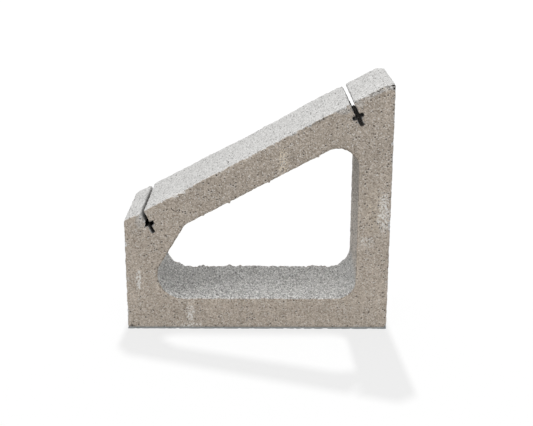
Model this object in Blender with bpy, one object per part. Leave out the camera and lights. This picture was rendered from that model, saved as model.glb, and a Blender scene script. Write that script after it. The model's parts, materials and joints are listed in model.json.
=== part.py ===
"""Solar ballast mount: one block of dry-cast concrete whose sloped top carries a panel frame.

Metres, +Z up. The origin is the middle of the base. +X runs from the low end to the high end,
and the face with the narrower window mouth is the front, which looks along -Y.
"""

import math

import bmesh
import bpy
from mathutils import Vector

# Outer form, seen from the front
BASE_LENGTH = 0.520
WIDTH = 0.200
LOW_END_HEIGHT = 0.2273
HIGH_END_HEIGHT = 0.4958
TOP_FLAT = 0.017
OUTER_RADIUS = 0.0042
OUTER_ARRIS = 0.003

# Window through the width: the walls left round it, its corners and its taper
FLOOR_THICKNESS = 0.0630
HIGH_POST_THICKNESS = 0.0650
BEAM_THICKNESS = 0.0620
KNEE_INSET = 0.1188
STRUT_ANGLE = math.radians(58.9)
FLOOR_RADIUS_LOW = 0.050
FLOOR_RADIUS_HIGH = 0.040
CROWN_RADIUS = 0.040
KNEE_RADIUS = 0.012
WINDOW_ARRIS = 0.0035
WINDOW_DRAFT = 0.0036

# Cross-shaped slots, cut down from the sloped top across the whole width.
# Each is set in from its own end of the slope.
SLOT_LOW_INSET = 0.0400
SLOT_HIGH_INSET = 0.0741
SLOT_WIDTH = 0.0078
SLOT_DEPTH = 0.0500
SLOT_LEAN = math.radians(1.2)
ARM_SPAN = 0.0240
ARM_HEIGHT = 0.0095
ARM_CENTRE_DEPTH = 0.0295
SLOT_BOTTOM_RADIUS = 0.0020
ARM_END_RADIUS = 0.0020
ARM_ROOT_RADIUS = 0.0022
SLOT_LIP_RADIUS = 0.0030
SLOT_LIP_DROP = 0.0012
SLOT_LIP_ANGLE = math.radians(30)
SLOT_ARRIS = 0.0014

# Fineness of the round stretches: the largest gap between an arc and its chords
ARC_SAG = 0.00016
ARRIS_STEPS = 3

SMOOTH_UP_TO = math.radians(30)

# How far cutters run past the faces that they cut, and the distance that welds a curve's caps
OVERRUN = 0.010
WELD = 0.000001

# Concrete
CONCRETE_COLOUR = (0.366, 0.330, 0.287, 1.0)
CONCRETE_ROUGHNESS = 0.92
CONCRETE_METALLIC = 0.0

COLLECTION = "solar_ballast_mount"
CUTTERS = "cutters"
BLOCK = "concrete_block"


def clear_scene():
    for obj in list(bpy.data.objects):
        bpy.data.objects.remove(obj, do_unlink=True)


def new_collection(name):
    collection = bpy.data.collections.new(name)
    bpy.context.scene.collection.children.link(collection)
    return collection


def along(angle):
    """Unit direction in the drawing plane, at this angle above +X."""
    return Vector((math.cos(angle), math.sin(angle)))


def crossing(point_a, direction_a, point_b, direction_b):
    """Where two lines of the drawing plane meet."""
    gap = point_b - point_a
    turn = direction_a.x * direction_b.y - direction_a.y * direction_b.x
    reach = (gap.x * direction_b.y - gap.y * direction_b.x) / turn
    return point_a + direction_a * reach


def slope_angle():
    """Tilt of the sloped top, which is the tilt that the panel gets."""
    return math.atan2(HIGH_END_HEIGHT - LOW_END_HEIGHT, BASE_LENGTH - TOP_FLAT)


def slope_start():
    """The low end of the sloped top, in the drawing plane."""
    return Vector((-BASE_LENGTH / 2, LOW_END_HEIGHT))


def slope_length():
    return math.hypot(BASE_LENGTH - TOP_FLAT, HIGH_END_HEIGHT - LOW_END_HEIGHT)


def slot_places():
    """Where each slot's mouth lies, along the slope from its low end."""
    return {"slot_low": SLOT_LOW_INSET, "slot_high": slope_length() - SLOT_HIGH_INSET}


def arc_steps(turn, radius):
    """Chords that keep an arc of this turn and radius within the sag."""
    widest = 2 * math.acos(1 - min(ARC_SAG / radius, 1))
    return max(2, math.ceil(abs(turn) / widest))


def turn_at(corners, index):
    """Signed angle by which the outline turns at this corner, left turns positive."""
    corner = corners[index][0]
    incoming = (corner - corners[index - 1][0]).normalized()
    outgoing = (corners[(index + 1) % len(corners)][0] - corner).normalized()
    return math.atan2(incoming.x * outgoing.y - incoming.y * outgoing.x, incoming.dot(outgoing))


def grown(corners, grow):
    """The corners after every side has moved outward by grow, with radii that keep the arcs concentric.

    Corners run counter-clockwise as (point, radius). A negative grow moves the sides inward.
    """
    count = len(corners)
    sides = []
    for index in range(count):
        start = corners[index][0]
        direction = (corners[(index + 1) % count][0] - start).normalized()
        outward = Vector((direction.y, -direction.x))
        sides.append((start + outward * grow, direction))
    moved = []
    for index in range(count):
        before = sides[index - 1]
        after = sides[index]
        radius = corners[index][1] + math.copysign(grow, grow * turn_at(corners, index))
        moved.append((crossing(*before, *after), radius))
    return moved


def rounded_outline(corners, grow=0):
    """Points of the grown outline, whose corners are arcs tangent to their two sides.

    The number of points depends on the corners alone, so outlines grown by any amount match.
    """
    moved = grown(corners, grow)
    points = []
    for index, (corner, radius) in enumerate(moved):
        turn = turn_at(moved, index)
        incoming = (corner - moved[index - 1][0]).normalized()
        inward = Vector((-incoming.y, incoming.x)) * math.copysign(1, turn)
        centre = corner - incoming * radius * math.tan(abs(turn) / 2) + inward * radius
        heading = math.atan2(-inward.y, -inward.x)
        steps = arc_steps(turn, corners[index][1])
        for step in range(steps + 1):
            points.append(centre + along(heading + turn * step / steps) * radius)
    return points


def outer_corners():
    """The block's own outline: base, high end, top flat, slope and low end."""
    half = BASE_LENGTH / 2
    return [
        (Vector((-half, 0)), OUTER_RADIUS),
        (Vector((half, 0)), OUTER_RADIUS),
        (Vector((half, HIGH_END_HEIGHT)), OUTER_RADIUS),
        (Vector((half - TOP_FLAT, HIGH_END_HEIGHT)), OUTER_RADIUS),
        (slope_start(), OUTER_RADIUS),
    ]


def window_corners():
    """The window's outline at the front: floor, high post, underside of the beam and strut."""
    slope = along(slope_angle())
    strut = along(STRUT_ANGLE)
    level = along(0)
    upright = along(math.pi / 2)
    underside = slope_start() + Vector((slope.y, -slope.x)) * BEAM_THICKNESS
    floor = Vector((0, FLOOR_THICKNESS))
    high_post = Vector((BASE_LENGTH / 2 - HIGH_POST_THICKNESS, 0))
    knee_plumb = Vector((KNEE_INSET - BASE_LENGTH / 2, 0))
    knee = crossing(underside, slope, knee_plumb, upright)
    return [
        (crossing(floor, level, knee, strut), FLOOR_RADIUS_LOW),
        (crossing(floor, level, high_post, upright), FLOOR_RADIUS_HIGH),
        (crossing(underside, slope, high_post, upright), CROWN_RADIUS),
        (knee, KNEE_RADIUS),
    ]


def slot_corners(place):
    """One slot's outline: a stem that crosses two arms and opens out at its lips."""
    lean = slope_angle() - SLOT_LEAN
    down = Vector((math.sin(lean), -math.cos(lean)))
    across = along(lean)
    mouth = slope_start() + along(slope_angle()) * place
    half_stem = SLOT_WIDTH / 2
    half_span = ARM_SPAN / 2
    arm_top = ARM_CENTRE_DEPTH - ARM_HEIGHT / 2
    arm_bottom = ARM_CENTRE_DEPTH + ARM_HEIGHT / 2
    half_mouth = half_stem + (SLOT_LIP_DROP + OVERRUN) / math.tan(SLOT_LIP_ANGLE)
    right = [
        (half_stem, SLOT_DEPTH, SLOT_BOTTOM_RADIUS),
        (half_stem, arm_bottom, ARM_ROOT_RADIUS),
        (half_span, arm_bottom, ARM_END_RADIUS),
        (half_span, arm_top, ARM_END_RADIUS),
        (half_stem, arm_top, ARM_ROOT_RADIUS),
        (half_stem, SLOT_LIP_DROP, SLOT_LIP_RADIUS),
        (half_mouth, -OVERRUN, SLOT_ARRIS),
    ]
    left = [(-side, depth, radius) for side, depth, radius in reversed(right)]
    return [(mouth + across * side + down * depth, radius) for side, depth, radius in right + left]


def smooth(data):
    """Round stretches are shaded smooth, and the real edges stay sharp."""
    data.shade_smooth()
    data.set_sharp_from_angle(angle=SMOOTH_UP_TO)


def hole_sections(arris, draft):
    """(y, grow) of a hole's cutter: a round arris at each face, a wall drafted towards the back, overruns."""
    turns = [math.pi / 2 * step / ARRIS_STEPS for step in range(ARRIS_STEPS + 1)]
    mouth = [(arris * (1 - math.cos(turn)), arris * (1 - math.sin(turn))) for turn in turns]
    front = [(inset - WIDTH / 2, flare) for inset, flare in mouth]
    back = [(WIDTH / 2 - inset, flare) for inset, flare in reversed(mouth)]
    walls = [(y, flare + draft * (y / WIDTH + 1 / 2)) for y, flare in front + back]
    front = (-WIDTH / 2 - OVERRUN, walls[0][1])
    back = (WIDTH / 2 + OVERRUN, walls[-1][1])
    return [front] + walls + [back]


def loft(name, corners, sections, collection):
    """A closed solid through the outline grown by each section's amount, one section at each y."""
    mesh = bmesh.new()
    rings = []
    for y, grow in sections:
        outline = rounded_outline(corners, grow)
        points = [mesh.verts.new((point.x, y, point.y)) for point in outline]
        pairs = zip(points, points[1:] + points[:1])
        rings.append([mesh.edges.new(pair) for pair in pairs])
    for ring, following in zip(rings, rings[1:]):
        bmesh.ops.bridge_loops(mesh, edges=ring + following)
    for ring in (rings[0], rings[-1]):
        bmesh.ops.contextual_create(mesh, geom=ring)
    bmesh.ops.recalc_face_normals(mesh, faces=mesh.faces)
    data = bpy.data.meshes.new(name)
    mesh.to_mesh(data)
    mesh.free()
    smooth(data)
    obj = bpy.data.objects.new(name, data)
    collection.objects.link(obj)
    return obj


def outline_solid(name, corners, arris, collection):
    """A 2D curve of the outline, thickened to the block's width with rounded arrises, as one mesh."""
    points = rounded_outline(corners)
    curve = bpy.data.curves.new(name, "CURVE")
    curve.dimensions = "2D"
    curve.fill_mode = "BOTH"
    curve.extrude = WIDTH / 2 - arris
    curve.bevel_depth = arris
    curve.bevel_resolution = ARRIS_STEPS - 1
    curve.offset = -arris
    spline = curve.splines.new("POLY")
    spline.points.add(len(points) - 1)
    for target, point in zip(spline.points, points):
        target.co = (point.x, point.y, 0, 1)
    spline.use_cyclic_u = True
    drawn = bpy.data.objects.new(name + "_outline", curve)
    drawn.rotation_euler = (math.pi / 2, 0, 0)
    collection.objects.link(drawn)
    bpy.context.view_layer.update()
    graph = bpy.context.evaluated_depsgraph_get()
    data = bpy.data.meshes.new_from_object(drawn.evaluated_get(graph))
    solid = bpy.data.objects.new(name, data)
    solid.matrix_world = drawn.matrix_world
    bpy.data.objects.remove(drawn, do_unlink=True)
    collection.objects.link(solid)
    mesh = bmesh.new()
    mesh.from_mesh(data)
    bmesh.ops.remove_doubles(mesh, verts=mesh.verts, dist=WELD)
    bmesh.ops.recalc_face_normals(mesh, faces=mesh.faces)
    mesh.to_mesh(data)
    mesh.free()
    smooth(data)
    return solid


def cut(target, cutter):
    cutter.hide_render = True
    cutter.display_type = "WIRE"
    modifier = target.modifiers.new(cutter.name, "BOOLEAN")
    modifier.operation = "DIFFERENCE"
    modifier.solver = "EXACT"
    modifier.object = cutter


def concrete_material():
    material = bpy.data.materials.new("concrete")
    material.use_nodes = True
    shader = material.node_tree.nodes["Principled BSDF"]
    shader.inputs["Base Color"].default_value = CONCRETE_COLOUR
    shader.inputs["Roughness"].default_value = CONCRETE_ROUGHNESS
    shader.inputs["Metallic"].default_value = CONCRETE_METALLIC
    material.diffuse_color = CONCRETE_COLOUR
    return material


def make_block(parts, cutters):
    block = outline_solid(BLOCK, outer_corners(), OUTER_ARRIS, parts)
    block.data.materials.append(concrete_material())
    window = loft("window_core", window_corners(), hole_sections(WINDOW_ARRIS, WINDOW_DRAFT), cutters)
    cut(block, window)
    for slot, place in slot_places().items():
        blade = loft(slot + "_blade", slot_corners(place), hole_sections(SLOT_ARRIS, 0), cutters)
        cut(block, blade)


def main():
    clear_scene()
    parts = new_collection(COLLECTION)
    cutters = new_collection(CUTTERS)
    make_block(parts, cutters)


main()
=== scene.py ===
"""Solar ballast mount: the looks of its one dry-cast concrete block, standing on a pale floor.

Metres, +Z up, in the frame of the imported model. +X runs from the low end to the high end, and
the front face looks along -Y. The concrete is worked in three steps: chips are cut out of the
block, its arrises crumble, and pores and grain roughen its skin.
"""

import json
import math

import bmesh
import bpy
import numpy as np
from bpy.props import FloatProperty, FloatVectorProperty, IntProperty, PointerProperty
from mathutils import Matrix, Vector, noise

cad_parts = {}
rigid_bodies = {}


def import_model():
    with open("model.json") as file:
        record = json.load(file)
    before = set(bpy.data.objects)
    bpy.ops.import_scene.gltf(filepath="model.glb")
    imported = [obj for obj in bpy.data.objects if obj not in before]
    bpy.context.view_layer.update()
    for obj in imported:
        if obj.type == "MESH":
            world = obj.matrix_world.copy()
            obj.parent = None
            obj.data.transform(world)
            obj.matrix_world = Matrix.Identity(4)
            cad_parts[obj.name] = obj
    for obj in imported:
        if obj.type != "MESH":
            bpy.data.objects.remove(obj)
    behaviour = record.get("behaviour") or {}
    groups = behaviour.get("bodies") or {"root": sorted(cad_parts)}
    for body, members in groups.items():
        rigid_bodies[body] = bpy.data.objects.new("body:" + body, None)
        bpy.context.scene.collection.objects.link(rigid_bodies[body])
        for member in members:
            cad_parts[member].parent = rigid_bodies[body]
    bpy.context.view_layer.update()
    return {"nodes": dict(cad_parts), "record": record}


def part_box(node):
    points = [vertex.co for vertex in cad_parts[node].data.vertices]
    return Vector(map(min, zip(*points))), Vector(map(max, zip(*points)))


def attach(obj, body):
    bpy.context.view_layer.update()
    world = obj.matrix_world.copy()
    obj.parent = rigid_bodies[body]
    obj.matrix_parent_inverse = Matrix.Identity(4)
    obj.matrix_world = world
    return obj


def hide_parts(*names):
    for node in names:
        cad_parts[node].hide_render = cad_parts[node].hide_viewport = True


bl_info = {
    "name": "Solar ballast mount",
    "version": (1, 0, 0),
    "blender": (4, 5, 0),
    "location": "3D View > Sidebar > Ballast mount",
    "description": "A cast concrete block that carries a solar panel, and a pale floor for it",
    "category": "Object",
}

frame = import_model()

NODE = "concrete_block"
BODY = "root"
PIECE = "ballast_block"

LOWEST, HIGHEST = (np.array(corner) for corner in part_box(NODE))
HALF_WIDTH = float(HIGHEST[1])

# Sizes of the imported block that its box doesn't give
CAP_LENGTH = 0.017
LOW_END_HEIGHT = 0.2273
WINDOW_SPAN = (-0.205, 0.199)
SLOT_WIDTH = 0.0078
SLOT_ARMS = 0.024
SLOT_ARM_HEIGHT = 0.0095

# The foot: a slab this high, set in this far from the block's faces and from the floor
FOOT_HEIGHT = 0.0034
FOOT_INSET = 0.0004
FOOT_LIFT = 0.0003

# Points closer than this are one
WELD = 0.000001

# Soft limits of zones, from one place to the other. Heights are above the floor, and drops are
# below the sloped top.
WINDOW_FLOOR_HEIGHT = (0.045, 0.05)
BEAM_DROP = (0.052, 0.056)
SLOT_BOTTOM_DROP = (0.061, 0.066)
SOFT_EDGE = 0.004

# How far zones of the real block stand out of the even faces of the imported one, or lie behind them
BACK_LIP_RISE = 0.0021
UNDERSIDE_RIM_RISE = 0.0015
LINING_SET_BACK = 0.0004
HIGH_WALL_SET_BACK = 0.0007
END_FACE_RISE = 0.0001
SLOT_ARM_RISE = 0.0007
HIGH_END_REACH = 0.0012
NICK_HEIGHT = 0.001

# The dents of a chip or a crumb: how close they lie, how deep they are, and the smoothness, the step
# between octaves and the octaves of the noise that makes them
DENT_CLOSENESS = 1.3
DENT_DEPTH = 0.28
DENT_FRACTAL = (0.8, 2.0, 3)

# Waves that work the surface: size, octaves and seed
WAVES = {
    "wide bites": (0.016, 3, 11),
    "small bites": (0.0046, 2, 23),
    "end bites": (0.0085, 2, 37),
    "grain": (0.0042, 2, 41),
    "clods": (0.008, 2, 91),
    "swell": (0.045, 2, 57),
    "end relief": (0.0085, 3, 77),
    "foot": (0.007, 2, 33),
    "foot nicks": (0.007, 2, 35),
}

# How each octave of waves is turned against the last, so that their cells don't line up
OCTAVE_TURN = np.array(Matrix.Rotation(0.9, 3, Vector((1, 2, 3)).normalized()))

# Bites out of the arrises: how much goes everywhere, and the shares of the wide and small bites
EVEN_BITE = 0.3
WIDE_BITES = 0.5
SMALL_BITES = 1.5

# Large numbers and shifts that mix a cell's place and a seed into a repeatable number
PLACE_MIXERS = (73856093, 19349663, 83492791)
SEED_MIXER = 15485863
MIXERS = ((13, 1274126177), (15, 2246822519))
LAST_SHIFT = 13
WHOLE_WORD = 0xFFFFFFFF
LARGEST = 0xFFFFFF

# Round pores of the mesh: spacing, share of the places that hold one, radius and seed
ROUND_PORES = (0.0085, 0.5, 0.0017, 71)

# Chips that the block has lost, by name: middle and half sizes along X, Y and Z
CHIPS = {
    "slope beside the high slot": ((0.1665, -0.1025, 0.458), (0.008, 0.0045, 0.0034)),
    "slope left of the high slot": ((0.153, -0.102, 0.45), (0.005, 0.0032, 0.0024)),
    "high slot, low jaw": ((0.175, -0.1025, 0.4595), (0.0042, 0.0075, 0.005)),
    "high slot, high jaw": ((0.188, -0.102, 0.4665), (0.0035, 0.004, 0.003)),
    "slope above the high slot": ((0.212, -0.102, 0.4815), (0.006, 0.003, 0.0022)),
    "cap, long bite": ((0.24, -0.1025, 0.495), (0.01, 0.004, 0.0026)),
    "cap, corner pit": ((0.2545, -0.1005, 0.493), (0.0035, 0.0042, 0.002)),
    "cap, end pit": ((0.2585, -0.1, 0.4865), (0.0026, 0.004, 0.0022)),
    "low slot, worn jaw": ((-0.227, -0.102, 0.236), (0.0052, 0.005, 0.012)),
    "low slot, left arm": ((-0.2215, -0.101, 0.2195), (0.0045, 0.005, 0.0055)),
    "low slot, high jaw": ((-0.2165, -0.102, 0.249), (0.003, 0.004, 0.0032)),
    "low end corner": ((-0.257, -0.102, 0.225), (0.003, 0.003, 0.004)),
    "slope low third, low": ((-0.164, -0.101, 0.279), (0.008, 0.0034, 0.003)),
    "slope low third, middle": ((-0.151, -0.101, 0.286), (0.009, 0.004, 0.0034)),
    "slope low third, high": ((-0.137, -0.101, 0.2935), (0.008, 0.0034, 0.003)),
    "slope middle": ((-0.035, -0.102, 0.3485), (0.007, 0.0028, 0.0022)),
    "slope high third": ((0.075, -0.1022, 0.407), (0.008, 0.003, 0.0024)),
    "window floor, back notch": ((0.001, 0.0985, 0.0645), (0.005, 0.01, 0.006)),
    "window floor, back nick": ((0.112, 0.0995, 0.0645), (0.009, 0.007, 0.003)),
    "base, low front corner": ((-0.2535, -0.101, 0.0065), (0.0026, 0.0028, 0.0045)),
    "base, high front corner": ((0.2575, -0.1005, 0.004), (0.004, 0.003, 0.003)),
}

# Crumbs of concrete that stayed on the block, and pebbles that its chips laid open
CRUMBS = {
    "under the beam, low": ((-0.1051, -0.096, 0.2398), (0.0024, 0.0032, 0.0018)),
    "under the beam, second": ((-0.0544, -0.096, 0.2658), (0.002, 0.003, 0.0016)),
    "under the beam, third": ((0.0229, -0.096, 0.3072), (0.0022, 0.003, 0.0018)),
    "under the beam, high": ((0.1162, -0.096, 0.3576), (0.0032, 0.0034, 0.0018)),
    "pebble in the low slot's arm": ((-0.2222, -0.097, 0.2185), (0.0034, 0.003, 0.0038)),
    "crumb on the low slot's low jaw": ((-0.215, -0.0975, 0.2125), (0.0032, 0.003, 0.0028)),
    "pebble in the cap's bite": ((0.24, -0.0975, 0.491), (0.0026, 0.0022, 0.002)),
}

# Pits of the front, darkened with painted shade: middle, half sizes and how dark each is
PITS = [
    ((0.2545, -0.1, 0.494), (0.005, 0.004, 0.0022), 1.0),
    ((0.2568, -0.099, 0.4885), (0.003, 0.005, 0.0028), 1.0),
    ((0.244, -0.1, 0.492), (0.0022, 0.004, 0.0015), 0.8),
    ((0.23, -0.1, 0.484), (0.003, 0.004, 0.0014), 0.6),
    ((0.164, -0.1, 0.456), (0.0028, 0.004, 0.002), 0.8),
    ((0.17, -0.1, 0.458), (0.002, 0.004, 0.0016), 0.7),
    ((0.158, -0.1, 0.452), (0.0022, 0.004, 0.0014), 0.6),
    ((0.066, -0.1, 0.353), (0.0024, 0.003, 0.0024), 0.9),
    ((0.105, -0.1, 0.37), (0.0022, 0.003, 0.0022), 0.8),
    ((0.06, -0.1, 0.378), (0.002, 0.003, 0.002), 0.8),
    ((-0.252, -0.1, 0.0065), (0.0028, 0.003, 0.0045), 0.8),
    ((-0.2215, -0.097, 0.237), (0.0055, 0.006, 0.012), 0.35),
]

# How far the slope's back arris lies above or below its line, by place along X
BACK_ARRIS = {
    -0.18: 0.0,
    -0.146: -0.0007,
    -0.125: -0.0012,
    -0.11: 0.0,
    -0.09: -0.001,
    -0.063: -0.0004,
    -0.045: -0.002,
    -0.025: -0.0028,
    0.000: -0.0014,
    0.025: -0.0004,
    0.04: -0.0014,
    0.07: 0.0,
    0.1: 0.0009,
    0.125: 0.0016,
    0.142: 0.0013,
    0.159: 0.0,
}

# Painted shade in the slots: how far in the walls of each slot turn dark for the stem, for the arms,
# and further in on ledges, and how dark they get
SLOT_LIGHT = [
    ("low", 0.01, 0.0022, 0.005, 1.0),
    ("high", 0.0008, 0.0008, 0.0, 0.77),
]

# Pale blooms on the front face: middle and half sizes along X and Z, and how strong each is
BLOOM_SPOTS = [
    ((0.246, 0.245), (0.016, 0.06), 0.45),
    ((0.215, 0.185), (0.022, 0.016), 0.3),
    ((-0.134, 0.032), (0.012, 0.036), 0.38),
    ((-0.132, 0.008), (0.03, 0.009), 0.38),
    ((-0.2355, 0.104), (0.007, 0.034), 0.45),
    ((-0.235, 0.096), (0.004, 0.014), 0.65),
    ((0.05, 0.346), (0.009, 0.032), 0.2),
    ((-0.16, 0.2795), (0.012, 0.005), 0.8),
    ((-0.146, 0.286), (0.012, 0.005), 0.8),
]

# Worn patches of the front face, where grey rubble shows: middle and half sizes along X and Z, and
# how worn each is
WORN_SPOTS = [
    ((-0.229, 0.226), (0.011, 0.018), 0.45),
    ((0.162, 0.446), (0.018, 0.009), 0.6),
    ((0.193, 0.46), (0.01, 0.009), 0.4),
]

# Where cream-coloured grains show on the front: middle and half sizes along X and Z, and how many
CREAM_SPOTS = [
    ((0.05, 0.346), (0.011, 0.036), 1.0),
    ((0.24, 0.489), (0.014, 0.005), 0.5),
    ((0.225, 0.25), (0.025, 0.06), 0.4),
]

# Thin cracks and small pits of the front face: middle and half sizes along X and Z, and how dark
# each is
CRACK_SPOTS = [
    ((-0.1662, 0.2527), (0.0017, 0.0022), 0.9),
    ((-0.164, 0.2506), (0.0019, 0.0014), 0.9),
    ((-0.1618, 0.2491), (0.002, 0.0012), 0.9),
    ((-0.1592, 0.2479), (0.0022, 0.0011), 0.85),
    ((-0.1566, 0.2473), (0.0018, 0.001), 0.7),
    ((0.2402, 0.4852), (0.001, 0.001), 0.6),
    ((0.254, 0.4836), (0.0022, 0.0011), 0.5),
]

# Pebbles that the worn top corner shows: middle and half sizes along X and Z, and how pale each is
PEBBLE_SPOTS = [
    ((0.2401, 0.4888), (0.0019, 0.0018), 1.0),
    ((0.2383, 0.4852), (0.0017, 0.0014), 0.7),
    ((0.242, 0.4827), (0.0013, 0.0024), 0.6),
    ((0.2502, 0.49), (0.0027, 0.0016), 0.9),
    ((0.256, 0.4868), (0.0032, 0.0015), 0.9),
]

# Sizes of the grains and patches of the finish
RAGGED_SIZE = 0.003
SPECKLE_SIZE = 0.0012
GRAIN_SIZE = 0.002
LIME_SIZE = 0.0026
CLOD_SIZE = 0.0042
CLUMP_SIZE = 0.0046
STREAK_SIZE = 0.005
PATCH_SIZE = 0.02
BROAD_SIZE = 0.06
STREAK_STRETCH = (1.0, 1.0, 0.06)

# Painted holes: the size of a hole's cell, and its radius in cell sizes. A pit's painted highlight, on
# its lip, lies this far below it.
PIT = (0.0052, 0.22)
WIDE_PIT = (0.01, 0.115)
PIN_HOLE = (0.0028, 0.3)
GAP = (0.0027, 0.34)
LIP_DROP = 0.0019

# The photograph's view, found from the block's own edges
VIEWPOINT = Vector((0.01667, -1.92435, 0.81334))
VIEW_YAW = -0.00087
VIEW_TILT = math.pi / 2 - 0.30227
VIEW_ROLL = 0.00257
SENSOR_WIDTH = 36.0
FOCAL_LENGTH = 66.452
VIEW_REACH = 100.0

# Lamps: where they hang and what the key lamp looks at
KEY_LAMP = (0.0, -0.6, 2.2)
KEY_LAMP_AIM = (0, 0, 0.3)
SHADOW_LAMP = (0.0, 11.7, 16.2)

# Where a place on the front plane, given by X and Z, has its shadow on the floor
SHADOW_MAP = Matrix(((1.0056, 0.0001, -0.0158), (0.0342, -0.6048, -0.0448), (-0.2263, -0.1362, 1.0)))

# The two round floors: their sides, and how far the hidden one lies under the one that is seen
FLOOR_SIDES = 96
HIDDEN_FLOOR_DROP = 0.0005


def repeatable(cells, seed):
    """A number from 0 to 1 for each whole-numbered cell, the same on every run."""
    mixed = np.full(len(cells), seed * SEED_MIXER)
    for column, mixer in zip(cells.astype(np.int64).T, PLACE_MIXERS):
        mixed = mixed ^ (column * mixer)
    for shift, mixer in MIXERS:
        mixed = (mixed ^ (mixed >> shift)) * mixer & WHOLE_WORD
    return ((mixed ^ (mixed >> LAST_SHIFT)) & LARGEST) / LARGEST


def waves(points, size, seed):
    """Smooth values from -1 to 1 that change over about this size."""
    scaled = points / size + seed
    cells = np.floor(scaled)
    within = scaled - cells
    ease = within * within * (3 - 2 * within)
    total = np.zeros(len(points))
    for corner in np.ndindex(2, 2, 2):
        share = np.prod(np.where(corner, ease, 1 - ease), axis=1)
        total += share * repeatable(cells + corner, seed)
    return 2 * total - 1


def rough(points, name):
    """Waves of halving size and height laid over each other, from about -1 to 1."""
    size, octaves, seed = WAVES[name]
    total = np.zeros(len(points))
    height = 1.0
    reach = 0.0
    for octave in range(octaves):
        total += height * waves(points, size, seed + octave)
        reach += height
        points = points @ OCTAVE_TURN
        size /= 2
        height /= 2
    return total / reach


def hollows(points, spacing, share, radius, seed):
    """How deep each point lies in scattered round pores: 1 at a pore's middle and 0 outside."""
    home = np.floor(points / spacing)
    depth = np.zeros(len(points))
    for step in np.ndindex(3, 3, 3):
        cells = home + np.array(step) - 1
        place = np.stack([repeatable(cells, seed + axis) for axis in range(3)], axis=1)
        there = repeatable(cells, seed + 3) < share
        size = radius * (0.5 + repeatable(cells, seed + 4))
        apart = np.linalg.norm((cells + place) * spacing - points, axis=1)
        bowl = np.clip(1 - (apart / size) ** 2, 0, 1)
        depth = np.maximum(depth, np.where(there, bowl, 0))
    return depth


def between(values, low, high):
    """0 below low, 1 above high, and an even slope between them."""
    return np.clip((values - low) / (high - low), 0, 1)


def band(values, rise, fall):
    """1 from the end of the rise to the start of the fall, and 0 outside both."""
    return between(values, *rise) * (1 - between(values, *fall))


def vectors(mesh, name):
    """A vector for each vertex of the mesh: its place, co, or its normal."""
    values = np.zeros(len(mesh.vertices) * 3, np.float32)
    mesh.vertices.foreach_get(name, values)
    return values.reshape(-1, 3).astype(float)


def vector_length(rows):
    return np.linalg.norm(rows, axis=1)


def lump_distance(points, middle, half_sizes):
    """How far each point lies from a lump's middle: 1 on the lump's surface."""
    return vector_length((points - np.array(middle)) / np.array(half_sizes))


def neighbour_mean(mesh, points, rounds):
    """The points after each has moved to the mean of its neighbours, over and over."""
    ends = np.zeros(len(mesh.edges) * 2, np.int32)
    mesh.edges.foreach_get("vertices", ends)
    first, second = ends.reshape(-1, 2).T
    here = np.concatenate([first, second])
    there = np.concatenate([second, first])
    count = np.bincount(here, minlength=len(points))
    for _ in range(rounds):
        columns = [np.bincount(here, points[there, axis], len(points)) / count for axis in range(3)]
        points = np.stack(columns, axis=1)
    return points


def link(name, mesh, collection=None):
    made = bpy.data.objects.new(name, mesh)
    (collection or bpy.context.scene.collection).objects.link(made)
    return made


def to_data(mesh, name):
    """The worked mesh as the data of an object."""
    data = bpy.data.meshes.new(name)
    mesh.to_mesh(data)
    mesh.free()
    return data


def hide_from(obj, *rays):
    for ray in rays:
        setattr(obj, f"visible_{ray}", False)


def with_modifiers(obj):
    """The object's mesh with its modifiers applied, as a new mesh."""
    bpy.context.view_layer.update()
    graph = bpy.context.evaluated_depsgraph_get()
    return bpy.data.meshes.new_from_object(obj.evaluated_get(graph))


def lump(name, middle, half_sizes, collection, seed):
    """A rough pebble-like lump: an ico sphere with dents, squashed to its half sizes."""
    mesh = bmesh.new()
    bmesh.ops.create_icosphere(mesh, subdivisions=3, radius=1)
    for vert in mesh.verts:
        dent = noise.fractal(vert.co * DENT_CLOSENESS + Vector((seed, 0, 0)), *DENT_FRACTAL)
        vert.co *= 1 + DENT_DEPTH * dent
        vert.co = Vector(middle) + Vector(half_sizes) * vert.co
    return link(name, to_data(mesh, name), collection)


def foot(collection):
    """A thin slab at the base: the cast block's foot is sharper than its other arrises."""
    mesh = bmesh.new()
    bmesh.ops.create_cube(mesh, size=1)
    low = LOWEST + (FOOT_INSET, FOOT_INSET, FOOT_LIFT)
    high = np.array((HIGHEST[0] - FOOT_INSET, HIGHEST[1] - FOOT_INSET, FOOT_HEIGHT))
    for vert in mesh.verts:
        vert.co = Vector((low + high) / 2) + Vector(high - low) * vert.co
    return link("foot", to_data(mesh, "foot"), collection)


def rough_cast():
    """The CAD block, welded, with a sharp foot, its chips cut out and its crumbs added."""
    mesh = bmesh.new()
    mesh.from_mesh(frame["nodes"][NODE].data)
    bmesh.ops.remove_doubles(mesh, verts=mesh.verts, dist=WELD)
    block = link("rough_cast", to_data(mesh, "rough_cast"))
    groups = []
    steps = (("foot", "UNION", {}), ("chips", "DIFFERENCE", CHIPS), ("crumbs", "UNION", CRUMBS))
    for name, operation, lumps in steps:
        group = bpy.data.collections.new(name)
        bpy.context.scene.collection.children.link(group)
        groups.append(group)
        for index, (place, (middle, half_sizes)) in enumerate(lumps.items()):
            lump(place, middle, half_sizes, group, index + 0.5)
        modifier = block.modifiers.new(name, "BOOLEAN")
        modifier.operation = operation
        modifier.operand_type = "COLLECTION"
        modifier.collection = group
        modifier.solver = "EXACT"
    foot(groups[0])
    return block, groups


def slope_below(points):
    """How far each point lies below the sloped top and the flat cap."""
    ends = [LOWEST[0], HIGHEST[0] - CAP_LENGTH, HIGHEST[0]]
    return np.interp(points[:, 0], ends, [LOW_END_HEIGHT, HIGHEST[2], HIGHEST[2]]) - points[:, 2]


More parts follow.
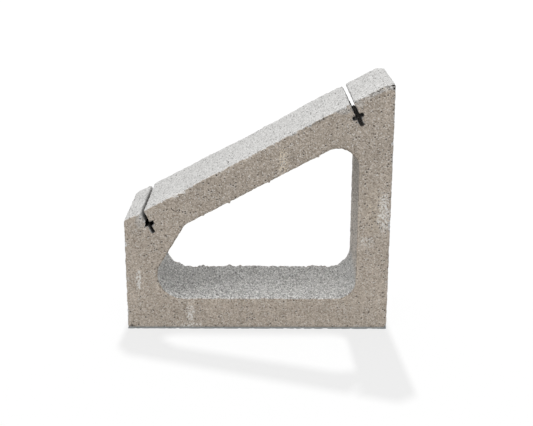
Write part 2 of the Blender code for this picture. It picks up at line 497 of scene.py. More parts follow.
def window_zone(points):
    """1 in and close to the window, seen from the front."""
    low, high = WINDOW_SPAN
    along = band(points[:, 0], (low - SOFT_EDGE, low), (high, high + SOFT_EDGE))
    return along * between(points[:, 2], *WINDOW_FLOOR_HEIGHT) * between(slope_below(points), *BEAM_DROP)


def window_lining(points, normals):
    """1 on the faces inside the window, and 0 on the outer faces and in the slots."""
    return window_zone(points) * (1 - between(np.abs(normals[:, 1]), 0.75, 0.95))


def spared(points):
    """How much of the wear each point is spared: all of it at the foot, and a share elsewhere."""
    back_top = between(points[:, 1], 0.088, 0.094) * between(points[:, 0], 0.07, 0.1)
    high_corner = between(points[:, 0], 0.248, 0.254) * between(points[:, 2], 0.47, 0.48)
    high_corner = high_corner * between(points[:, 1], -0.085, -0.07)
    shares = {
        "foot": between(-points[:, 2], -0.012, -0.006),
        "window": 0.65 * window_zone(points),
        "back arris of the slope": 0.8 * back_top,
        "high corner": 0.7 * high_corner,
        "low end": 0.2 * between(-points[:, 0], 0.25, 0.257),
    }
    return np.maximum.reduce(list(shares.values()))


def crumble(mesh, points, normals, sizes):
    """Arrises lose material in uneven bites. Gives the new places, the depth of the loss and the
    arrises."""
    rounded = neighbour_mean(mesh, points, sizes.wear_rounds)
    inward = rounded - points
    loss = np.clip(-(inward * normals).sum(axis=1), 0, None)
    front = between(-points[:, 1], HALF_WIDTH - 0.012, HALF_WIDTH - 0.004)
    top = between(-slope_below(points), -0.01, -0.004)
    exposed = sizes.wear * (1 - spared(points))
    exposed += sizes.wear_front_top * front * top * between(points[:, 0], 0.02, 0.2)
    bites = EVEN_BITE + WIDE_BITES * rough(points, "wide bites")
    bites += SMALL_BITES * rough(points, "small bites")
    ends = between(np.abs(points[:, 0]), 0.25, 0.257) * between(points[:, 2], 0.006, 0.012)
    bites += ends * (3.0 * between(rough(points, "end bites"), 0.1, 0.6) - 0.45)
    depth = np.clip(loss * exposed * bites, 0, sizes.wear_limit)
    unit = inward / np.maximum(vector_length(inward), 1e-9)[:, None]
    return points + unit * depth[:, None], depth, between(loss, 0.00015, 0.0005)


def grain_relief(points, normals, arris, lining, pore, sizes):
    """How far grain, clods, swellings and pores lift or sink each point of the surface."""
    smooth_face = between(np.abs(points[:, 1]), HALF_WIDTH - 0.003, HALF_WIDTH - 0.0012)
    smooth_face = smooth_face * between(np.abs(normals[:, 1]), 0.5, 0.8)
    coarse = 1 + 1.6 * lining + 3.2 * arris * (1 - lining)
    height = sizes.grain_height * (1 - 0.5 * smooth_face) * coarse * rough(points, "grain")
    facing_up = lining * between(normals[:, 2], 0.0, 1.0)
    back_lip = facing_up * between(points[:, 1], 0.06, 0.095)
    clods = rough(points * (1.0, 0.6, 1.0), "clods")
    height += sizes.clod_height * (0.5 * lining + 0.5 * facing_up + 5.6 * back_lip) * clods
    front_rim = between(-points[:, 1], 0.06, 0.092)
    facing_down = between(-normals[:, 2], 0.3, 0.6)
    under_beam = UNDERSIDE_RIM_RISE * facing_down * front_rim - LINING_SET_BACK
    height += BACK_LIP_RISE * back_lip + lining * (1 - facing_up) * under_beam
    high_wall = lining * between(-normals[:, 0], 0.6, 0.8) * between(points[:, 0], 0.15, 0.18)
    height -= HIGH_WALL_SET_BACK * high_wall
    end_face = between(np.abs(normals[:, 0]), 0.6, 0.8)
    end_face = end_face * between(np.abs(points[:, 0]), 0.2535, 0.256)
    relief = sizes.end_relief * rough(points * (1.0, 0.35, 1.0), "end relief")
    height += end_face * (relief + END_FACE_RISE)
    height += sizes.swell_height * rough(points, "swell") - sizes.pore_depth * pore
    return height


def slot_arm_relief(points, end):
    """How far the walls of a slot's arms stand in, behind its lips and above its bottom."""
    inner = band(slope_below(points), (0.02, 0.024), SLOT_BOTTOM_DROP)
    depth, inside = slot_places(points, end)
    return SLOT_ARM_RISE * inner * inside * (1 - between(np.abs(depth), 0.0062, 0.0075))


def roughen(points, normals, arris, sizes):
    """Grain, pores and swellings. Gives the new places and how deep each point lies in a pore."""
    lining = window_lining(points, normals)
    pore = hollows(points, *ROUND_PORES) * (1 - 0.5 * lining)
    height = grain_relief(points, normals, arris, lining, pore, sizes)
    for end in ("low", "high"):
        height += slot_arm_relief(points, end)
    resting = between(-normals[:, 2], 0.8, 0.95) * between(-points[:, 2], -0.002, -0.001)
    height = height * (1 - 0.9 * resting)
    below = slope_below(points)
    points = points + normals * height[:, None]
    wave = np.interp(points[:, 0], list(BACK_ARRIS), list(BACK_ARRIS.values()))
    points[:, 2] += wave * between(points[:, 1], 0.045, 0.092) * (1 - between(below, 0.004, 0.02))
    high_end = between(points[:, 0], 0.255, 0.2575) * between(points[:, 2], 0.43, 0.49)
    points[:, 0] += HIGH_END_REACH * high_end * between(points[:, 1], -0.088, -0.07)
    return points, pore


def sharp_foot(points):
    """The lowest millimetres pressed out to the block's full length and width, with small nicks."""
    points = points.copy()
    for axis in (0, 1):
        full = HIGHEST[axis]
        near = between(np.abs(points[:, axis]), full - 0.005, full - 0.003)
        pressed = near * between(-points[:, 2], -0.0036, -0.0012) * (1 + 0.5 * rough(points, "foot"))
        pressed = np.clip(pressed, 0, 1)
        points[:, axis] += (np.sign(points[:, axis]) * full - points[:, axis]) * pressed
    edge = between(np.abs(points[:, 1]), HALF_WIDTH - 0.003, HALF_WIDTH - 0.001)
    nicks = between(rough(points, "foot nicks"), 0.05, 0.45) * between(-points[:, 2], -0.0016, -0.0008)
    points[:, 2] += NICK_HEIGHT * edge * nicks
    return points


def slot_places(points, end):
    """How deep each point lies along the low or the high slot from the middle of its cross, and 1
    between the slot's walls. The slot leans as the record's seats do."""
    record = frame["record"]
    openings = {row["name"]: row["box_m"] for row in record["physics"]["openings"]}
    seats = {row["name"]: row["axis"] for row in record["mounts"]}
    down = seats[f"slot_{end}_seat"]
    apart = points - np.mean(openings[f"slot_{end}_cross"], axis=0)
    depth = apart[:, 0] * down[0] + apart[:, 2] * down[2]
    side = np.abs(apart[:, 2] * down[0] - apart[:, 0] * down[2])
    stem = 1 - between(side, SLOT_WIDTH / 2 + 0.003, SLOT_WIDTH / 2 + 0.005)
    arms = 1 - between(side, SLOT_ARMS / 2 + 0.002, SLOT_ARMS / 2 + 0.004)
    arms = arms * (1 - between(np.abs(depth), SLOT_ARM_HEIGHT / 2 + 0.002, SLOT_ARM_HEIGHT / 2 + 0.004))
    return depth, np.maximum(stem, arms)


def darkness(points, normals):
    """Painted shade at each point, where shade falls: 1 in the pits of the front and deep in the slots.
    """
    dark = np.zeros(len(points))
    for middle, half_sizes, strength in PITS:
        apart = lump_distance(points, middle, half_sizes)
        dark = np.maximum(dark, strength * (1 - between(apart, 0.7, 1.1)))
    inner = band(slope_below(points), (0.001, 0.01), SLOT_BOTTOM_DROP)
    inner = inner * (1 - between(np.abs(normals[:, 1]), 0.6, 0.9))
    behind = np.clip(HALF_WIDTH - 0.001 - np.abs(points[:, 1]), 0, None)
    ledge = between(normals[:, 2], 0.2, 0.6)
    for end, stem_reach, arm_reach, ledge_reach, darkest in SLOT_LIGHT:
        depth, inside = slot_places(points, end)
        stem = between(np.abs(depth), 0.003, 0.008)
        reach = arm_reach + (stem_reach - arm_reach) * stem + ledge_reach * ledge
        dark = np.maximum(dark, darkest * inner * (1 - np.exp(-behind / reach)) * inside)
    for middle, half_sizes in CRUMBS.values():
        dark = dark * between(lump_distance(points, middle, half_sizes), 1.1, 1.5)
    return dark


def move(mesh, points):
    points = np.clip(points, LOWEST, HIGHEST)
    mesh.vertices.foreach_set("co", points.astype(np.float32).ravel())
    mesh.update()
    return points


def mark(mesh, name, values):
    attribute = mesh.attributes.new(name, "FLOAT", "POINT")
    attribute.data.foreach_set("value", values.astype(np.float32))


def finished_mesh(sizes):
    """The worked block as one closed mesh with fewer triangles than the limit."""
    block, groups = rough_cast()
    remesh = block.modifiers.new("even mesh", "REMESH")
    remesh.mode = "VOXEL"
    remesh.voxel_size = sizes.voxel
    fine = with_modifiers(block)
    for group in groups:
        for obj in list(group.objects):
            bpy.data.objects.remove(obj, do_unlink=True)
        bpy.data.collections.remove(group)
    bpy.data.objects.remove(block, do_unlink=True)
    points, worn, arris = crumble(fine, vectors(fine, "co"), vectors(fine, "normal"), sizes)
    points = move(fine, points)
    normals = vectors(fine, "normal")
    mark(fine, "worn", worn * (1 - window_zone(points)))
    # Painted shade in the front's pits and deep in the slots
    mark(fine, "dark", darkness(points, normals))
    mark(fine, "below", slope_below(points))
    mark(fine, "lining", window_lining(points, normals))
    points, pore = roughen(points, normals, arris, sizes)
    mark(fine, "pore", pore)
    move(fine, sharp_foot(points))
    fine.calc_loop_triangles()
    worked = link("worked", fine)
    thin = worked.modifiers.new("fewer triangles", "DECIMATE")
    thin.ratio = sizes.most_triangles / len(fine.loop_triangles)
    mesh = with_modifiers(worked)
    bpy.data.objects.remove(worked, do_unlink=True)
    move(mesh, vectors(mesh, "co"))
    mesh.name = PIECE
    mesh.shade_smooth()
    return mesh


class Value:
    """A node's output in a material, so that masks and heights are written as sums and products."""

    def __init__(self, tree, socket=None):
        self.tree = tree
        self.socket = socket

    def node(self, kind, settings=None, inputs=None, output=0):
        """Adds a node: its settings first, then its sockets' values or links. Gives one output."""
        made = self.tree.nodes.new(f"ShaderNode{kind}")
        for name, setting in (settings or {}).items():
            setattr(made, name, setting)
        for name, value in (inputs or {}).items():
            if isinstance(value, Value):
                self.tree.links.new(value.socket, made.inputs[name])
            else:
                made.inputs[name].default_value = value
        return Value(self.tree, None if output is None else made.outputs[output])

    def math(self, operation, *values):
        return self.node("Math", {"operation": operation}, dict(enumerate(values)))

    def __add__(self, other):
        return self.math("ADD", self, other)

    def __radd__(self, other):
        return self.math("ADD", other, self)

    def __sub__(self, other):
        return self.math("SUBTRACT", self, other)

    def __rsub__(self, other):
        return self.math("SUBTRACT", other, self)

    def __mul__(self, other):
        return self.math("MULTIPLY", self, other)

    def __rmul__(self, other):
        return self.math("MULTIPLY", other, self)

    def __abs__(self):
        return self.math("ABSOLUTE", self)

    def above(self, low, high):
        """0 below low, 1 above high, and a soft step between them. With high below low it falls."""
        sockets = {"Value": self, "From Min": low, "From Max": high}
        return self.node("MapRange", {"interpolation_type": "SMOOTHSTEP"}, sockets)

    def highest(self, other):
        return self.math("MAXIMUM", self, other)

    def blend(self, below, over):
        """This mask's mix of two colours."""
        settings = {"data_type": "RGBA"}
        return self.node("Mix", settings, {0: self, 6: below, 7: over}, 2)

    def tint(self, colour, how="MULTIPLY"):
        """The colour made lighter or darker: multiplied by this value, or with it added."""
        settings = {"data_type": "RGBA", "blend_type": how}
        grey = self.node("CombineColor", None, {0: self, 1: self, 2: self})
        return self.node("Mix", settings, {0: 1.0, 6: colour, 7: grey}, 2)

    def stretched(self, scale):
        return self.node("VectorMath", {"operation": "MULTIPLY"}, {0: self, 1: scale})

    def shifted(self, step):
        return self.node("VectorMath", {"operation": "ADD"}, {0: self, 1: step})

    def cloud(self, size, detail=2.0):
        """Noise from 0 to 1 at this place, whose patches are about this size."""
        sockets = {"Vector": self, "Scale": 1 / size, "Detail": detail}
        return self.node("TexNoise", None, sockets)

    def cells(self, size):
        """Random cells of this size: how far each place is from its cell's middle, and its cell's
        two lots."""
        middle = self.node("TexVoronoi", None, {"Vector": self, "Scale": 1 / size}, "Distance")
        colour = Value(self.tree, middle.socket.node.outputs["Color"])
        lots = [self.node("SeparateColor", None, {0: colour}, part) for part in ("Red", "Green")]
        return middle, *lots

    def dots(self, share, size, radius):
        """Ragged dots of mixed width and strength, in this share of the cells of this size. The
        radius is in cell sizes."""
        middle, lot, other = self.cells(size)
        ragged = middle + (self.cloud(0.4 * size, 1.0) - 0.5) * 0.5
        width = other * (0.8 * radius) + 0.6 * radius
        there = (share - lot).above(-0.02, 0.02) * (width - ragged).above(-0.35 * radius, 0.3 * radius)
        return there * (other * 0.5 + 0.5)

    def attribute(self, name):
        return self.node("Attribute", {"attribute_name": name}, None, "Fac")


def spots(place, rows):
    """A mask of oval spots on the front, each as strong as its row says."""
    x, z = (place.node("SeparateXYZ", None, {0: place}, axis) for axis in ("X", "Z"))
    mask = None
    for (middle_x, middle_z), (half_x, half_z), strength in rows:
        across = (x - middle_x) * (1 / half_x)
        up = (z - middle_z) * (1 / half_z)
        spot = (across * across + up * up).above(1.0, 0.1) * strength
        mask = spot if mask is None else mask.highest(spot)
    return mask


class Skin:
    """The block's surface as its finish sees it: places, marks of the mesh, zones, grains and holes."""

    def __init__(self, tree):
        self.place = Value(tree).node("TexCoord", output="Object")
        split = {0: self.place}
        self.x, self.y, self.z = (
            self.place.node("SeparateXYZ", None, split, axis) for axis in "XYZ"
        )
        # Marks of the mesh: wear, painted shade, pores, drop below the top, and the window's lining
        self.worn, self.dark, self.hollow, self.below, self.lining = (
            self.place.attribute(name) for name in ("worn", "dark", "pore", "below", "lining")
        )
        self.add_zones()
        self.add_grains()
        self.add_holes()

    def add_zones(self):
        """The film on the front and back, the front's face with and without its chips, the window's
        high wall, and the places with rubble and with cream-coloured grains."""
        x, z, below, lining = self.x, self.z, self.below, self.lining
        forward = 0 - self.y
        self.ragged = (self.place.cloud(RAGGED_SIZE) - 0.5) * 0.0024
        film = abs(self.y) + self.ragged + 0.004 * lining
        film = film.above(HALF_WIDTH - 0.0024, HALF_WIDTH - 0.0008)
        self.film = film * self.worn.above(0.0012, 0.0005)
        self.open_face = 1 - self.film
        self.sandy = self.film.highest(lining)
        self.front = forward.above(0.0, 0.05)
        self.face = forward.above(HALF_WIDTH - 0.0036, HALF_WIDTH - 0.0022)
        chipped = forward.above(HALF_WIDTH - 0.009, HALF_WIDTH - 0.0065)
        self.chipped_face = chipped * below.above(0.0003, 0.0012)
        self.high_wall = x.above(0.18, 0.19) * lining * z.above(0.085, 0.13) * self.open_face
        rubble = below.above(0.0125, 0.007) * x.above(0.185, 0.24)
        self.rubble = rubble.highest(spots(self.place, WORN_SPOTS)) * self.chipped_face
        self.creamy = spots(self.place, CREAM_SPOTS) * self.face

    def add_grains(self):
        """Speckle, grains, clods and clumps, which lie twice as long in the window and the slots as
        on the front, and wider patches and streaks."""
        depth = self.y - self.open_face * (self.y + HALF_WIDTH) * 0.5
        lying = {"X": self.x, "Y": depth, "Z": self.z}
        self.grit = self.place.node("CombineXYZ", None, lying)
        self.speckle = self.grit.cloud(SPECKLE_SIZE, 1.0)
        self.clumps = self.grit.cloud(CLUMP_SIZE, 2.0)
        self.patches = self.place.cloud(PATCH_SIZE, 3.0)
        self.broad = self.place.cloud(BROAD_SIZE, 3.0)
        self.streaks = self.place.stretched(STREAK_STRETCH).cloud(STREAK_SIZE, 2.0)
        self.grain_middle, self.grain, self.other_grain = self.grit.cells(GRAIN_SIZE)
        self.clod_middle, self.clod, self.other_clod = self.grit.cells(CLOD_SIZE)
        contrast = 0.68 + 0.47 * self.film + 0.8 * self.lining + 0.4 * self.rubble
        fine = (self.speckle - 0.5) * 0.9 + (self.grain - 0.5) * 0.6 + (self.clumps - 0.5) * 0.1
        self.fine = fine * contrast

    def add_holes(self):
        """Pits with a painted highlight on the lip below each, pin holes, the dark gaps between open
        grains, and painted shade in the mesh's pores.
        """
        end_edge = self.x.above(0.238, 0.257) * self.front
        rough_edge = end_edge.highest(self.worn.above(0.0003, 0.001)).highest(self.rubble)
        crowd = 0.5 * (self.patches - 0.5)
        share = 0.18 + 0.4 * rough_edge + 0.3 * self.creamy + 0.1 * (1 - self.sandy) + crowd
        pits = self.grit.dots(share, *PIT)
        self.pit_highlights = self.grit.shifted((0.0, 0.0, LIP_DROP)).dots(share, *PIT) * (1 - pits)
        wide_pits = self.grit.dots(0.16 + 0.3 * rough_edge + crowd, *WIDE_PIT)
        wide_pits = wide_pits * (0.8 - 0.15 * self.open_face)
        share = 0.15 + 0.34 * rough_edge + 0.14 * self.open_face + crowd
        pin_holes = self.grit.dots(share, *PIN_HOLE)
        self.gaps = self.grit.dots(0.5 * self.lining + 0.22 * self.open_face, *GAP)
        hole = (pits * 0.95).highest(pin_holes * 0.75).highest(wide_pits)
        # Painted shade in the mesh's round pores, at half strength
        self.hole = hole.highest(self.hollow.above(0.2, 0.8) * 0.5)


def shade(skin):
    """How light the concrete is, around 1: its grain, the broad light and dark of its zones, and painted
    light, shade and highlights.
    """
    x, y, z, film, lining = skin.x, skin.y, skin.z, skin.film, skin.lining
    tone = 1.0 + 0.5 * skin.fine + (0.12 + 0.1 * skin.sandy) * (skin.broad - 0.5)
    tone = tone + (skin.clod - 0.5) * lining * 0.2
    # Streaks and patches of the film, and painted light: the film lighter from 0.36 m down towards the
    # foot
    film_tone_and_painted_light = (skin.streaks - 0.5) * 0.36 + (skin.patches - 0.5) * 0.22 + z.above(0.36, -0.1) * 0.16
    tone = tone + film * film_tone_and_painted_light
    # The window's lining: painted light makes it paler towards the back and painted shade darker over
    # its front part; it is also a little lighter overall, and more so away from its low end
    window_tone_and_painted_light = 0.1 * y.above(-0.1, 0.1) + 0.02 + 0.05 * x.above(-0.19, -0.1)
    window_tone_and_painted_light = window_tone_and_painted_light - 0.075 * y.above(-0.04, -0.062)
    # The window's high wall: painted shade darker towards its top and lighter towards its bottom, and a
    # painted highlight near its front arris
    high_wall_tone_and_painted_light = z.above(0.33, 0.13) * 0.27 - 0.055 + 0.1 * y.above(-0.0945, -0.0975)
    tone = tone + lining * window_tone_and_painted_light + skin.high_wall * high_wall_tone_and_painted_light
    # A painted highlight along the front arris of the sloped top's low half; the sloped top a little
    # lighter towards its low end
    arris_highlight = skin.below.above(0.003, 0.001) * skin.face * x.above(-0.06, -0.09)
    tone = tone + arris_highlight * 0.08 + (1 - skin.sandy) * (x.above(0.25, -0.25) * 0.065 - 0.014)
    tone = tone - film * z.above(0.06, 0.045) * 0.07 + film * x.above(0.228, 0.246) * 0.06
    # A painted highlight on the front arris of the window's high wall; the front darker just under the
    # window floor's front rim
    rim_highlight = x.above(0.1915, 0.1932) * x.above(0.2, 0.1975)
    rim_highlight = rim_highlight * z.above(0.075, 0.1) * z.above(0.345, 0.33) * skin.face
    under_rim = z.above(0.056, 0.0585) * z.above(0.063, 0.0618)
    under_rim = under_rim * x.above(-0.19, -0.17) * x.above(0.19, 0.17) * skin.face
    return tone + rim_highlight * 0.17 - under_rim * 0.1


def paste_and_film(skin, colours):
    """Grey paste with the brown film over it, in light and dark grains, and the painted light and shade
    of shade().
    """
    film = (skin.film * (1 - 0.8 * skin.rubble)).highest(skin.high_wall * 0.6)
    colour = shade(skin).tint(film.blend((*colours.paste, 1), (*colours.film, 1)))
    return (skin.fine * (0.32 - 0.13 * film)).tint(colour, "ADD")


def with_sand(skin, colour, colours):
    """Rubble, pale grains, painted highlights below the pits, pebbles and the dark gaps between grains,
    laid over this colour.
    """
    colour = (skin.rubble * 0.3).blend(colour, (*colours.dark_grain, 1))
    round_grain = skin.grain_middle.above(0.6, 0.4)
    strength = 0.4 + 0.4 * skin.sandy - 0.3 * skin.lining
    pale = skin.other_grain.above(0.92, 0.94) * round_grain * strength
    # Painted highlights on the lip below each pit
    pale = pale.highest(skin.pit_highlights * (0.2 + 0.25 * skin.sandy))
    colour = pale.blend(colour, (*colours.pale_grain, 1))
    pebbles = (skin.other_clod + skin.x.above(0.228, 0.242) * 0.2).above(0.7, 0.76)
    pebbles = pebbles * skin.clod_middle.above(0.52, 0.36) * skin.rubble
    pebbles = pebbles.highest(spots(skin.place, PEBBLE_SPOTS) * skin.chipped_face)
    colour = pebbles.blend(colour, (*colours.pale_grain, 1))
    return (skin.gaps * (0.52 + 0.13 * skin.lining)).blend(colour, (*colours.dark_grain, 1))


def with_front_marks(skin, colour, colours):
    """Lime blooms, cream-coloured grains and the dark, broken line of the top arris."""
    lime = spots(skin.place, BLOOM_SPOTS)
    grainy = (lime * 0.4 + skin.grit.cloud(LIME_SIZE, 3.0)).above(0.6, 0.76)
    colour = (grainy * lime.above(0.0, 0.15) * skin.face * 0.9).blend(colour, (*colours.bloom, 1))
    cream = skin.creamy * skin.other_grain.above(0.62, 0.66) * 0.9
    colour = cream.blend(colour, (*colours.cream_grain, 1))
    edge_line = skin.below.above(0.0006, 0.002) * skin.below.above(0.0056, 0.0034) * skin.face
    edge_line = edge_line * skin.place.cloud(CLOD_SIZE, 2.0).above(0.46, 0.55)
    edge_line = edge_line * skin.x.above(-0.04, 0.14) * skin.x.above(0.245, 0.232)
    return (edge_line * 0.7).blend(colour, (*colours.dark_grain, 1))


def with_dark_places(skin, colour, colours):
    """Pores and pits, cracks, painted shade in the mesh's pores, the front's pits and deep in the slots,
    and a darker band and line along the foot.
    """
    strength = 0.92 - 0.06 * skin.open_face + 0.05 * skin.lining
    colour = (skin.hole * strength).blend(colour, (*colours.pore, 1))
    # Painted shade in the front's pits and deep in the slots, with thin cracks and small pits drawn over
    # it
    dark = skin.dark.highest(spots(skin.place, CRACK_SPOTS) * skin.chipped_face)
    colour = dark.blend(colour, (*colours.pore, 1))
    # Darker towards the foot: dark grain up to about 7 mm above the floor, and a dark grey line below
    # about 4.6 mm
    height = skin.z + skin.ragged
    colour = (height.above(0.0072, 0.0054) * 0.35).blend(colour, (*colours.dark_grain, 1))
    return (height.above(0.0046, 0.0034) * 0.85).blend(colour, (*colours.foot_line, 1))


def concrete(colours):
    """Dry-cast concrete: grey and granular on the moulded faces, a brown film on the front and back."""
    material = bpy.data.materials.new("dry_cast_concrete")
    material.use_nodes = True
    tree = material.node_tree
    shader = tree.nodes["Principled BSDF"]
    skin = Skin(tree)
    colour = paste_and_film(skin, colours)
    for layer in (with_sand, with_front_marks, with_dark_places):
        colour = layer(skin, colour, colours)
    height = 0.7 * skin.speckle + 0.6 * skin.grain + 2.0 * skin.clumps
    height = height - 1.0 * skin.hole - 0.5 * skin.gaps
    sockets = {"Height": height, "Distance": 0.0008, "Strength": 0.8}
    bump = skin.place.node("Bump", None, sockets)
    tree.links.new(colour.socket, shader.inputs["Base Color"])
    tree.links.new(bump.socket, shader.inputs["Normal"])
    shader.inputs["Roughness"].default_value = 0.95
    shader.inputs["Specular IOR Level"].default_value = 0.0
    return material


def camera():
    """The photograph's view."""
    lens = bpy.data.cameras.new("view")
    lens.sensor_width = SENSOR_WIDTH
    lens.lens = FOCAL_LENGTH
    lens.clip_end = VIEW_REACH
    view = bpy.data.objects.new("view", lens)
    bpy.context.scene.collection.objects.link(view)
    yaw = Matrix.Rotation(VIEW_YAW, 4, "Z")
    tilt = Matrix.Rotation(VIEW_TILT, 4, "X")
    roll = Matrix.Rotation(VIEW_ROLL, 4, "Z")
    view.matrix_world = Matrix.Translation(VIEWPOINT) @ yaw @ tilt @ roll
    bpy.context.scene.camera = view


def seen_directly(value):
    """1 for rays that see the stage itself: from the camera, in gloss and through glass."""
    kinds = ("Is Camera Ray", "Is Glossy Ray", "Is Transmission Ray")
    camera_ray, glossy, through = (value.node("LightPath", output=kind) for kind in kinds)
    return camera_ray.highest(glossy).highest(through)


def floor_disc(name, radius, height):
    mesh = bmesh.new()
    bmesh.ops.create_circle(mesh, cap_ends=True, segments=FLOOR_SIDES, radius=radius)
    disc = link(name, to_data(mesh, name))
    disc.location.z = height
    material = bpy.data.materials.new(name)
    material.use_nodes = True
    material.node_tree.nodes.clear()
    disc.data.materials.append(material)
    return disc, material.node_tree


def floors(stage):
    """The white floor that is seen, with the shadow on it, and the one that throws light back."""
    seen, tree = floor_disc("floor", stage.floor_radius, 0)
    start = Value(tree)
    matt = start.node("BsdfDiffuse", None, {"Color": (*stage.floor_colour, 1)})
    white = {"Color": (1, 1, 1, 1), "Strength": stage.floor_white}
    white = start.node("Emission", None, white)
    share = seen_directly(start) * (1 - stage.shadow_depth)
    both = start.node("MixShader", None, {0: share, 1: matt, 2: white})
    both.node("OutputMaterial", None, {"Surface": both}, None)
    hide_from(seen, "diffuse", "shadow")

    hidden, tree = floor_disc("floor_for_bounced_light", stage.floor_radius, -HIDDEN_FLOOR_DROP)
    matt = Value(tree).node("BsdfDiffuse", None, {"Color": (*stage.floor_colour, 1)})
    matt.node("OutputMaterial", None, {"Surface": matt}, None)
    hide_from(hidden, "camera", "glossy", "transmission")
    return seen


def sky(stage):
    """An even white sky, which is pure white where it is seen."""
    world = bpy.data.worlds.new("sky")
    world.use_nodes = True
    bpy.context.scene.world = world
    tree = world.node_tree
    strength = seen_directly(Value(tree)) * (1 - stage.sky) + stage.sky
    tree.nodes["Background"].inputs["Color"].default_value = (1, 1, 1, 1)
    tree.links.new(strength.socket, tree.nodes["Background"].inputs["Strength"])


def shadow_card(stage):
    """The block's outline as the camera sees it, laid where its lamp throws it on the floor as the
    photograph has it. Only that lamp sees the card, which hangs high behind the block."""
    mesh = bmesh.new()
    mesh.from_mesh(frame["nodes"][NODE].data)
    for vert in mesh.verts:
        ray = vert.co - VIEWPOINT
        seen = VIEWPOINT + ray * (-HALF_WIDTH - VIEWPOINT.y) / ray.y
        across, forward, share = SHADOW_MAP @ Vector((seen.x, seen.z, 1))
        on_floor = Vector((across / share, forward / share, 0))
        vert.co = on_floor.lerp(Vector(SHADOW_LAMP), stage.card_share)
    card = link("shadow_card", to_data(mesh, "shadow_card"))
    hide_from(card, "camera", "diffuse", "glossy", "transmission")
    return card


def only(name, obj, state="INCLUDE"):
    """A collection of one object that a lamp's light is kept to, or kept off."""
    collection = bpy.data.collections.new(name)
    collection.objects.link(obj)
    collection.collection_objects[0].light_linking.link_state = state
    return collection


def aimed_lamp(name, kind, place, aim):
    lamp = bpy.data.objects.new(name, bpy.data.lights.new(name, kind))
    bpy.context.scene.collection.objects.link(lamp)
    lamp.location = place
    lamp.rotation_euler = (Vector(aim) - Vector(place)).to_track_quat("-Z", "Y").to_euler()
    hide_from(lamp, "camera")
    return lamp


def lamps(stage, floor):
    """A soft lamp above the front, and a far one that only draws the shadow on the floor."""
    key = aimed_lamp("key_lamp", "AREA", KEY_LAMP, KEY_LAMP_AIM)
    key.data.shape = "DISK"
    key.data.size = stage.lamp_size
    key.data.energy = stage.lamp_power
    key.light_linking.receiver_collection = only("unlit_by_the_key_lamp", floor, "EXCLUDE")

    far = aimed_lamp("shadow_lamp", "AREA", SHADOW_LAMP, (0, 0, 0))
    far.data.shape = "ELLIPSE"
    far.data.size = stage.shadow_lamp_width
    far.data.size_y = stage.shadow_lamp_height
    far.data.energy = stage.shadow_lamp_power
    far.light_linking.receiver_collection = only("lit_by_the_shadow_lamp", floor)
    far.light_linking.blocker_collection = only("blocks_the_shadow_lamp", shadow_card(stage))


def settings_of(kind, **form):
    """A function that makes settings of this kind, each from its name, description and default."""

    def setting(name, description, default):
        return kind(name=name, description=description, default=default, **form)

    return setting


length_property = settings_of(FloatProperty, unit="LENGTH", precision=5)
share_property = settings_of(FloatProperty, subtype="FACTOR")
power_property = settings_of(FloatProperty, unit="POWER")
strength_property = settings_of(FloatProperty)
count_property = settings_of(IntProperty)
colour_property = settings_of(FloatVectorProperty, subtype="COLOR", min=0, max=1)


class BlockSizes(bpy.types.PropertyGroup):
    voxel: length_property(
        "Mesh size", "Edge length of the even mesh that the worked block starts from", 0.0014
    )
    most_triangles: count_property("Most triangles", "Triangles that the finished block keeps", 194000)
    wear_rounds: count_property("Arris reach", "How many mesh sizes the wear of an arris reaches", 14)
    wear: share_property("Arris wear", "How much of an arris crumbles away", 1.0)
    wear_front_top: share_property(
        "Front arris wear", "How much more crumbles along the front arris of the sloped top", 0.7
    )
    wear_limit: length_property("Deepest wear", "The most that an arris loses", 0.0016)
    grain_height: length_property("Grain height", "How far grains stand out of a moulded face", 0.00035)
    clod_height: length_property("Clod height", "How far clods stand out of the window's lining", 0.0008)
    pore_depth: length_property("Pore depth", "Depth of the pores", 0.0009)
    end_relief: length_property("End relief", "How far the two end faces stand in and out", 0.0012)
    swell_height: length_property(
        "Swell height", "How far the moulded faces swell and sink over a few centimetres", 0.00015
    )


class ConcreteColours(bpy.types.PropertyGroup):
    paste: colour_property("Paste", "Cement paste of the moulded faces", (0.665, 0.66, 0.648))
    film: colour_property("Film", "Brown film on the front and back faces", (0.45, 0.393, 0.334))
    dark_grain: colour_property("Dark grain", "Dark sand grains", (0.17, 0.165, 0.155))
    pale_grain: colour_property("Pale grain", "Pale sand grains and pebbles", (0.76, 0.74, 0.71))
    cream_grain: colour_property("Cream grain", "Cream-coloured grains", (0.78, 0.68, 0.54))
    # Also the colour of painted shade: in the mesh's pores, in the front's pits and deep in the slots
    pore: colour_property("Pore", "Depth of a pore", (0.038, 0.031, 0.026))
    bloom: colour_property("Bloom", "Pale lime bloom and smears", (0.82, 0.805, 0.775))
    # A dark grey line along the foot
    foot_line: colour_property("Damp", "Damp line along the foot", (0.325, 0.35, 0.362))


class StageSettings(bpy.types.PropertyGroup):
    floor_radius: length_property("Floor radius", "Radius of the round floor", 14.0)
    floor_colour: colour_property("Floor", "Colour of the floor", (0.8, 0.8, 0.8))
    shadow_depth: share_property(
        "Shadow depth", "Share of the floor's brightness that comes from the lamps", 0.19
    )
    sky: strength_property("Sky", "Strength of the sky's even light", 0.6)
    floor_white: strength_property(
        "Floor white", "Brightness of the floor's own white where it is seen directly", 0.95
    )
    lamp_size: length_property("Lamp size", "Diameter of the key lamp", 1.8)
    lamp_power: power_property("Lamp power", "Power of the key lamp", 23.0)
    shadow_lamp_power: power_property(
        "Shadow lamp", "Power of the far lamp that lights the floor alone", 4750.0
    )
    shadow_lamp_width: length_property(
        "Shadow lamp width", "Width of the far lamp, which softens the shadow sideways", 0.098
    )
    shadow_lamp_height: length_property(
        "Shadow lamp height", "Height of the far lamp, which softens the shadow along the view", 0.195
    )
    card_share: share_property(
        "Card place", "How far up the way from the floor to the far lamp the shadow card hangs", 0.15
    )


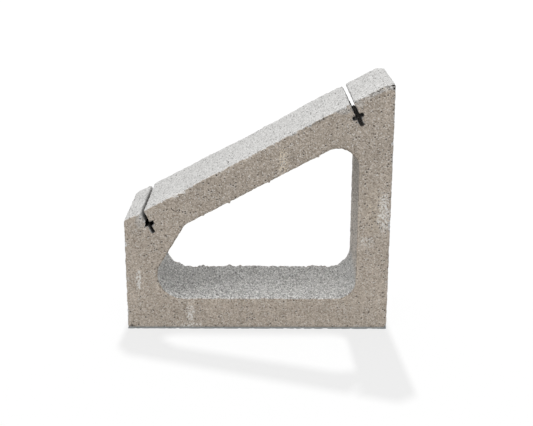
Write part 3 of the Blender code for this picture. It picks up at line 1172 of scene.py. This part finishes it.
class BALLAST_OT_block(bpy.types.Operator):
    """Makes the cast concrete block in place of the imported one"""

    bl_idname = "ballast.block"
    bl_label = "Concrete block"

    def execute(self, context):
        mesh = finished_mesh(context.scene.block_sizes)
        mesh.materials.clear()
        mesh.materials.append(concrete(context.scene.concrete_colours))
        block = link(PIECE, mesh)
        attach(block, BODY)
        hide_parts(NODE)
        return {"FINISHED"}


class BALLAST_OT_stage(bpy.types.Operator):
    """Sets up the pale floor, the sky, the lamps and the camera"""

    bl_idname = "ballast.stage"
    bl_label = "Floor, light and camera"

    def execute(self, context):
        stage = context.scene.ballast_stage
        lamps(stage, floors(stage))
        sky(stage)
        camera()
        context.scene.view_settings.view_transform = "Standard"
        return {"FINISHED"}


class BALLAST_PT_panel(bpy.types.Panel):
    """Lists the operators and their settings"""

    bl_idname = "BALLAST_PT_panel"
    bl_label = "Ballast mount"
    bl_space_type = "VIEW_3D"
    bl_region_type = "UI"
    bl_category = "Ballast mount"

    def draw(self, context):
        scene = context.scene
        groups = {
            BALLAST_OT_block: (scene.block_sizes, scene.concrete_colours),
            BALLAST_OT_stage: (scene.ballast_stage,),
        }
        for operator, settings in groups.items():
            self.layout.operator(operator.bl_idname)
            for group in settings:
                for name in group.__annotations__:
                    self.layout.prop(group, name)


CLASSES = (
    BlockSizes,
    ConcreteColours,
    StageSettings,
    BALLAST_OT_block,
    BALLAST_OT_stage,
    BALLAST_PT_panel,
)


def register():
    for cls in CLASSES:
        bpy.utils.register_class(cls)
    bpy.types.Scene.block_sizes = PointerProperty(type=BlockSizes)
    bpy.types.Scene.concrete_colours = PointerProperty(type=ConcreteColours)
    bpy.types.Scene.ballast_stage = PointerProperty(type=StageSettings)


def unregister():
    del bpy.types.Scene.ballast_stage
    del bpy.types.Scene.concrete_colours
    del bpy.types.Scene.block_sizes
    for cls in reversed(CLASSES):
        bpy.utils.unregister_class(cls)


def main():
    register()
    bpy.ops.ballast.block()
    bpy.ops.ballast.stage()


if __name__ == "__main__":
    main()
